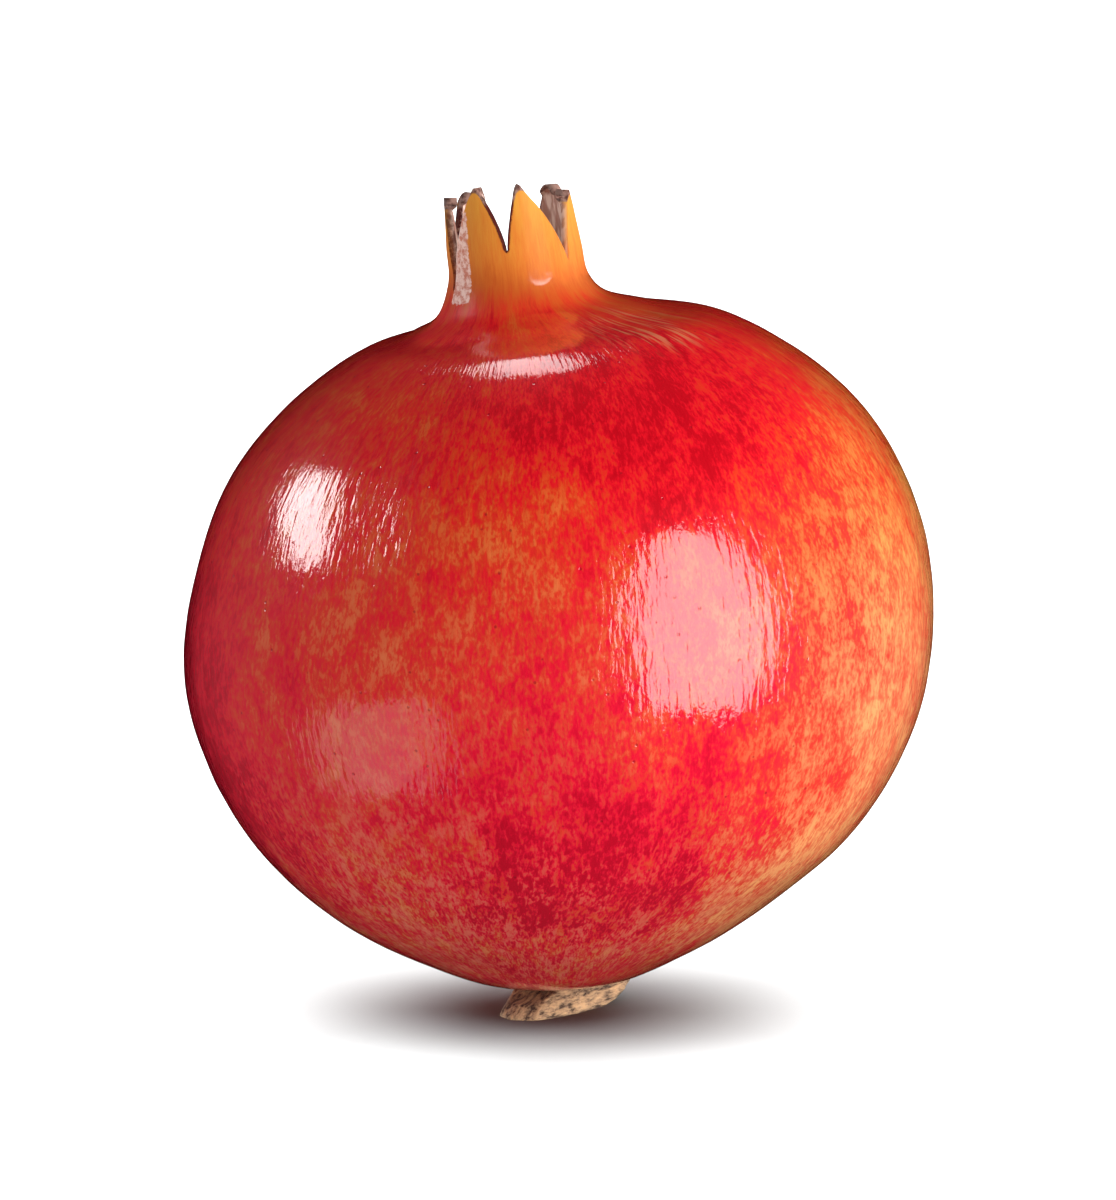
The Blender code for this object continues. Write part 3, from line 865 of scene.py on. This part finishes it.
class POMEGRANATE_OT_fruit(bpy.types.Operator):
    """Build the rind with its neck and crown of sepals"""

    bl_idname = "pomegranate.fruit"
    bl_label = "Fruit"

    def execute(self, context):
        look = context.scene.pomegranate_rind
        plan = CrownPlan(look.columns)
        last = float(RIND.distance_at_height(SPLIT_HEIGHT))
        rows = RIND.row_distances(last, look.columns, look.least_row)
        neck_row = len(rows) - 1
        top_row = neck_row + look.sepal_rows
        floor_row = neck_row - len(CUP_RINGS)
        walls = ((2.0, 0, top_row, (0,)), (1.0, floor_row - 1, top_row, (floor_row - 1,)))
        bm = rolled_chart(walls, plan.columns)
        cut_gaps(bm, plan, neck_row, top_row)
        join_rims(bm)
        values = shape_fruit(bm, plan, rows, neck_row, top_row)
        piece = finished_piece("whole_fruit", bm, rind_material(look), values)
        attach(piece, "root")
        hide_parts("fruit")
        return {"FINISHED"}


def underside(x, y):
    """Height of the fruit's underside near the stem pole."""
    middle = RIND.at(RIND.distance_at_radius(POLE_RADIUS))[0]
    away = math.hypot(x - middle[2], y)
    ring = RIND.at(RIND.distance_at_radius(away))[0]
    return ring[0] + (x - middle[2]) * math.tan(math.radians(ring[3]))


def stem_point(turn, share, rise):
    """A point of the stem at a share of its outline, and of its rise from foot to top."""
    cosine, sine = math.cos(turn), math.sin(turn)
    middle = Vector(STUB_MIDDLE)
    squared = Vector(
        (
            math.copysign(abs(cosine) ** STUB_ROUNDNESS, cosine) * STUB_LENGTH / 2.0,
            math.copysign(abs(sine) ** STUB_ROUNDNESS, sine) * STUB_WIDTH / 2.0,
        )
    )
    taper = 1.0 - (1.0 - STUB_NECK_SHARE) * rise**STUB_TAPER
    place = Matrix.Rotation(math.radians(STUB_TURN), 2) @ (squared * share * taper) + middle
    top = underside(place.x, place.y) - STUB_GAP
    end = max(0.0, cosine * share - STUB_LIFT_FROM) / (1.0 - STUB_LIFT_FROM)
    chipped = share > STUB_RIM_FROM
    foot = STUB_LIFT * end if chipped else 0.0
    nose = float(smooth_step(STUB_NOSE_FROM, 1.0, -cosine * share))
    top -= STUB_NOSE_DROP * nose * (top - foot)
    if chipped:
        at = Vector((place.x, place.y, STUB_CHIP_STRETCH * rise * top))
        depth = noise.noise(at * STUB_CHIPS) * STUB_CHIP_DEPTH
        place += (place - middle).normalized() * depth
    return Vector((place.x, place.y, foot + (top - foot) * rise)) + Vector(SHIFT)


WOOD_PALE = linear(190, 150, 108)


def wood_material(look):
    paint = Paint("stem_wood")
    place = paint.millimetres()
    sockets = {"Vector": place, "Rotation": (0.0, 0.0, -math.radians(STUB_TURN))}
    grain = paint.add("VectorRotate", sockets, rotation_type="EULER_XYZ")
    fibre = paint.noise(paint.stretched(grain, 0.2, 1.0, 1.0), 1.9, 3.0, 0.7, 0.2)
    blotch = paint.noise(place, 0.5, 2.0)
    tone = paint.total((fibre, 1.7), (blotch, 0.7), (-0.45, 1.0))
    colour = paint.ramp(
        tone, (0.5, tuple(look.dark_wood)), (0.74, tuple(look.wood)), (1.0, WOOD_PALE)
    )
    return paint.finish(
        Base_Color=colour, Roughness=0.85, Normal=paint.bump(fibre, 0.0006, 0.8)
    )


class POMEGRANATE_OT_stem(bpy.types.Operator):
    """Build the cut stem that the fruit stands on"""

    bl_idname = "pomegranate.stem"
    bl_label = "Stem"

    def execute(self, context):
        ends = len(STUB_FACE)
        sides = tuple(k / (STUB_SIDE_ROWS - 1) for k in range(STUB_SIDE_ROWS))
        shares = STUB_FACE + (1.0,) * STUB_SIDE_ROWS + STUB_FACE[::-1]
        rises = (0.0,) * ends + sides + (1.0,) * ends
        last = len(shares) - 1
        bm = rolled_chart(((1.0, 0, last, (0, last)),), STUB_COLUMNS)
        for vert in bm.verts:
            row = round(vert.co.z)
            turn = math.atan2(vert.co.y, vert.co.x)
            vert.co = stem_point(turn, shares[row], rises[row])
        piece = finished_piece("stem_end", bm, wood_material(context.scene.pomegranate_stem))
        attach(piece, "root")
        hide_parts("stem_stub")
        return {"FINISHED"}


def add_thread(curve, points, thicks):
    """A thread along points, whose thickness changes."""
    spline = curve.splines.new("POLY")
    spline.points.add(len(points) - 1)
    for place, point, thick in zip(spline.points, points, thicks):
        place.co = (*point, 1.0)
        place.radius = thick / MM


def thread_points(number, count, middle, tall, draw):
    """Points of one stamen, which leans out and bows to a side."""
    turn = number * math.pi * (3.0 - math.sqrt(5.0))
    share = math.sqrt((number + 0.5) / count)
    root = Vector((math.cos(turn), math.sin(turn), 0.0)) * share * THREAD_ROOTS * MM
    height = tall * draw.uniform(0.5, 0.95)
    swing = turn + draw.uniform(-0.9, 0.9)
    tip = Vector((math.cos(swing), math.sin(swing), 0.0))
    tip *= min(THREAD_REACH, THREAD_SPREAD * share + draw.uniform(-1.0, 1.0)) * MM
    aside = Vector((-math.sin(swing), math.cos(swing), 0.0))
    aside *= draw.uniform(-1.0, 1.0) * THREAD_BOW * MM
    points = []
    for t in THREAD_POINTS:
        bow = aside * math.sin(math.pi * t) * (1.0 - 0.3 * t)
        up = Vector((0.0, 0.0, height * (t - 0.18 * t**4)))
        points.append(middle + root.lerp(tip, t * t) + bow + up)
    return points


def grow_threads(curve, look, middle, tall):
    """Stamens all over the cup's floor, and the style in their middle."""
    draw = random.Random(THREAD_SEED)
    for number in range(look.count):
        points = thread_points(number, look.count, middle, tall, draw)
        bead = draw.uniform(1.5, 2.1)
        thicks = (*THREAD_THICKS, bead, 1.2 * bead, bead, 0.6)
        add_thread(curve, points, [look.thick * thick for thick in thicks])
    style = [
        middle + Vector((0.6 * MM * t * t, 0.2 * MM * t, tall * (0.1 + 0.86 * t)))
        for t in STYLE_POINTS
    ]
    add_thread(curve, style, [thick * MM for thick in STYLE_THICKS])


def add_bed(bm, middle):
    """The lumpy bed that the stamens stand on, nearly flat below."""
    for vert in bmesh.ops.create_icosphere(bm, subdivisions=4, radius=1.0)["verts"]:
        up = Vector((vert.co.x, vert.co.y, max(vert.co.z, -0.15)))
        lump = 1.0 + 0.12 * noise.noise(up * 4.0)
        shape = Vector(BED_SIZE) * MM * lump
        vert.co = middle + shape * up + Vector((0.0, 0.0, BED_RISE))


THREAD_DARK = linear(70, 42, 28)


def stamens_material(look):
    paint = Paint("withered_stamens")
    tone = paint.noise(paint.millimetres(), 0.8, 3.0, 0.6)
    colour = paint.ramp(
        tone, (0.3, THREAD_DARK), (0.5, tuple(look.thread)), (0.7, tuple(look.anther))
    )
    return paint.finish(Base_Color=colour, Roughness=0.8, Normal=paint.bump(tone, 0.0002, 0.5))


class POMEGRANATE_OT_stamens(bpy.types.Operator):
    """Build the withered stamens inside the crown"""

    bl_idname = "pomegranate.stamens"
    bl_label = "Stamens"

    def execute(self, context):
        look = context.scene.pomegranate_stamens
        low, high = (Vector(corner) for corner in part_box("stamens"))
        middle = Vector(SHIFT) + Vector((CUP_FLOOR[1] * MM, 0.0, low.z))
        curve = bpy.data.curves.new("threads", "CURVE")
        curve.dimensions = "3D"
        curve.bevel_depth = 0.5 * MM
        curve.bevel_resolution = 1
        curve.use_fill_caps = True
        grow_threads(curve, look, middle, high.z - low.z)
        threads = bpy.data.objects.new("threads", curve)
        drawn = threads.to_mesh()
        bm = bmesh.new()
        bm.from_mesh(drawn)
        threads.to_mesh_clear()
        bpy.data.objects.remove(threads)
        add_bed(bm, middle)
        piece = finished_piece("withered_stamens", bm, stamens_material(look))
        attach(piece, "root")
        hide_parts("stamens")
        return {"FINISHED"}


# Softboxes for the fruit: name, direction from it, roll in degrees, width and height in metres,
# brightness, and whether they light the skin or only shine in it.
SOFTBOXES = (
    ("left_strip", (-0.875, 0.105, 0.47), 62.0, 0.25, 0.48, 14.0, False, True),
    ("right_box", (0.65, -0.75, 0.12), 8.0, 0.54, 0.92, 7.8, True, True),
    ("top_strip", (-0.15, 0.48, 0.86), 30.0, 0.18, 0.28, 6.0, False, True),
    ("front_glow", (-0.77, -0.44, -0.46), -53.0, 0.44, 0.56, 1.2, False, True),
    ("right_fill", (0.93, -0.1, 0.2), 0.0, 1.0, 1.0, 2.5, True, False),
    ("left_fill", (-0.9, 0.2, -0.4), 0.0, 1.0, 1.0, 1.2, True, False),
    ("left_rim", (-0.72, 0.68, 0.12), 0.0, 1.0, 1.0, 1.1, True, False),
    ("right_rim", (0.72, 0.68, 0.1), 0.0, 1.0, 1.0, 0.8, True, False),
)
SOFTBOX_DISTANCE = 0.8
LAMPS_AIM_AT = (0.0, 0.0, 50.0 * MM)
# Light of the sky from straight below, from the sides and from straight above.
SKY_LIGHT = ((0.0, 0.76), (0.5, 1.0), (1.0, 0.14))
# How much brighter the sky is behind the fruit than over its sides.
SKY_BEHIND = 0.45
# Far soft lamps in a ring round the table, which light only the floor.
FLOOR_LAMPS = 6
FLOOR_LAMP_RISE = 51.0
FLOOR_LAMP_ANGLE = 40.0
# Half the floor's width in metres, and how little red it has.
FLOOR_REACH = 8.0
FLOOR_RED = 0.98


def add_lamp(name, kind, direction, receivers):
    """A lamp that shines at the fruit from a direction, on some of the objects only."""
    lamp = bpy.data.objects.new(name, bpy.data.lights.new(name, kind))
    away = Vector(direction).normalized()
    lamp.location = Vector(LAMPS_AIM_AT) + away * SOFTBOX_DISTANCE
    lamp.rotation_euler = away.to_track_quat("Z", "Y").to_euler()
    lamp.light_linking.receiver_collection = receivers
    bpy.context.scene.collection.objects.link(lamp)
    return lamp


def add_softbox(receivers, name, direction, roll, width, height, brightness, lights, shines):
    """An area light of a brightness that stays the same at any size."""
    lamp = add_lamp(name, "AREA", direction, receivers)
    lamp.rotation_euler.rotate_axis("Z", math.radians(roll))
    lamp.data.shape = "ELLIPSE"
    lamp.data.size = width
    lamp.data.size_y = height
    lamp.data.energy = brightness * math.pi * width * height * math.pi / 4.0
    lamp.visible_diffuse = lights
    lamp.visible_glossy = shines


def soft_world(strength):
    """Light from all round: most from behind and the sides, least from above."""
    world = bpy.data.worlds.new("soft_sky")
    world.use_nodes = True
    world.cycles_visibility.glossy = False
    tree = world.node_tree
    split = tree.nodes.new("ShaderNodeSeparateXYZ")
    tree.links.new(tree.nodes.new("ShaderNodeTexCoord").outputs["Generated"], split.inputs[0])
    share = tree.nodes.new("ShaderNodeMapRange")
    share.inputs["From Min"].default_value = -1.0
    tree.links.new(split.outputs["Z"], share.inputs["Value"])
    shade = tree.nodes.new("ShaderNodeValToRGB")
    shade.color_ramp.elements.new(0.5)
    for element, (place, light) in zip(shade.color_ramp.elements, SKY_LIGHT):
        element.position = place
        element.color = (light, light, light, 1.0)
    tree.links.new(share.outputs[0], shade.inputs[0])
    sky = tree.nodes["Background"]
    tree.links.new(shade.outputs[0], sky.inputs["Color"])
    behind = tree.nodes.new("ShaderNodeMath")
    behind.operation = "MULTIPLY_ADD"
    tree.links.new(split.outputs["Y"], behind.inputs[0])
    behind.inputs[1].default_value = SKY_BEHIND * strength
    behind.inputs[2].default_value = strength
    tree.links.new(behind.outputs[0], sky.inputs["Strength"])
    return world


def floor_material(paleness):
    pale = bpy.data.materials.new("pale_floor")
    pale.use_nodes = True
    tree = pale.node_tree
    tree.nodes.clear()
    surface = tree.nodes.new("ShaderNodeBsdfDiffuse")
    surface.inputs["Color"].default_value = (FLOOR_RED * paleness, paleness, paleness, 1.0)
    output = tree.nodes.new("ShaderNodeOutputMaterial")
    tree.links.new(surface.outputs[0], output.inputs["Surface"])
    return pale


def add_floor(paleness):
    """A wide floor that neither lights the fruit nor shows in its gloss."""
    bm = bmesh.new()
    bmesh.ops.create_grid(bm, x_segments=1, y_segments=1, size=FLOOR_REACH)
    floor = finished_piece("floor", bm, floor_material(paleness))
    floor.visible_diffuse = False
    floor.visible_glossy = False
    return floor


def add_floor_lamps(receivers, brightness):
    """Soft lamps in a ring, so that the shadow is round and fades evenly."""
    rise = math.radians(FLOOR_LAMP_RISE)
    for k in range(FLOOR_LAMPS):
        turn = 2.0 * math.pi * k / FLOOR_LAMPS
        level = math.cos(rise)
        away = (math.sin(turn) * level, math.cos(turn) * level, math.sin(rise))
        lamp = add_lamp(f"floor_lamp_{k}", "SUN", away, receivers)
        lamp.data.angle = math.radians(FLOOR_LAMP_ANGLE)
        lamp.data.energy = brightness


def add_camera(scene):
    """The photograph's view, with a lens that gives it the photograph's width."""
    data = bpy.data.cameras.new("camera")
    data.sensor_fit = "HORIZONTAL"
    data.sensor_width = SENSOR_WIDTH
    data.lens = SENSOR_WIDTH * CAMERA_DISTANCE / (PHOTO[0] * MM_PER_PIXEL * MM)
    data.clip_end = 20.0
    camera = bpy.data.objects.new("camera", data)
    rise = math.radians(CAMERA_RISE)
    back = Vector((0.0, -math.cos(rise), math.sin(rise)))
    camera.location = Vector(CAMERA_TARGET) + back * CAMERA_DISTANCE
    camera.rotation_euler = back.to_track_quat("Z", "Y").to_euler()
    scene.collection.objects.link(camera)
    scene.camera = camera


class POMEGRANATE_OT_stage(bpy.types.Operator):
    """Set up the pale floor, the soft light and the camera"""

    bl_idname = "pomegranate.stage"
    bl_label = "Stage"

    def execute(self, context):
        scene = context.scene
        look = scene.pomegranate_stage
        fruit_only = bpy.data.collections.new("fruit_only")
        for piece in scene.objects:
            if piece.type == "MESH":
                fruit_only.objects.link(piece)
        floor_only = bpy.data.collections.new("floor_only")
        floor_only.objects.link(add_floor(look.floor))
        scene.world = soft_world(look.sky)
        scene.view_settings.view_transform = "Standard"
        for softbox in SOFTBOXES:
            add_softbox(fruit_only, *softbox)
        add_floor_lamps(floor_only, look.floor_light)
        add_camera(scene)
        return {"FINISHED"}


OPERATORS = (
    POMEGRANATE_OT_fruit,
    POMEGRANATE_OT_stem,
    POMEGRANATE_OT_stamens,
    POMEGRANATE_OT_stage,
)


class POMEGRANATE_PT_panel(bpy.types.Panel):
    bl_label = "Pomegranate"
    bl_idname = "POMEGRANATE_PT_panel"
    bl_space_type = "VIEW_3D"
    bl_region_type = "UI"
    bl_category = "Pomegranate"

    def draw(self, context):
        for operator in OPERATORS:
            self.layout.operator(operator.bl_idname)
        for name, group in GROUPS.items():
            box = self.layout.box()
            settings = getattr(context.scene, name)
            for key in group.__annotations__:
                box.prop(settings, key)


def register():
    for made in (*GROUPS.values(), *OPERATORS, POMEGRANATE_PT_panel):
        bpy.utils.register_class(made)
    for name, group in GROUPS.items():
        setattr(bpy.types.Scene, name, PointerProperty(type=group))


def unregister():
    for name in GROUPS:
        delattr(bpy.types.Scene, name)
    for made in reversed((*GROUPS.values(), *OPERATORS, POMEGRANATE_PT_panel)):
        bpy.utils.unregister_class(made)


def main():
    register()
    bpy.ops.pomegranate.fruit()
    bpy.ops.pomegranate.stem()
    bpy.ops.pomegranate.stamens()
    bpy.ops.pomegranate.stage()


if __name__ == "__main__":
    main()
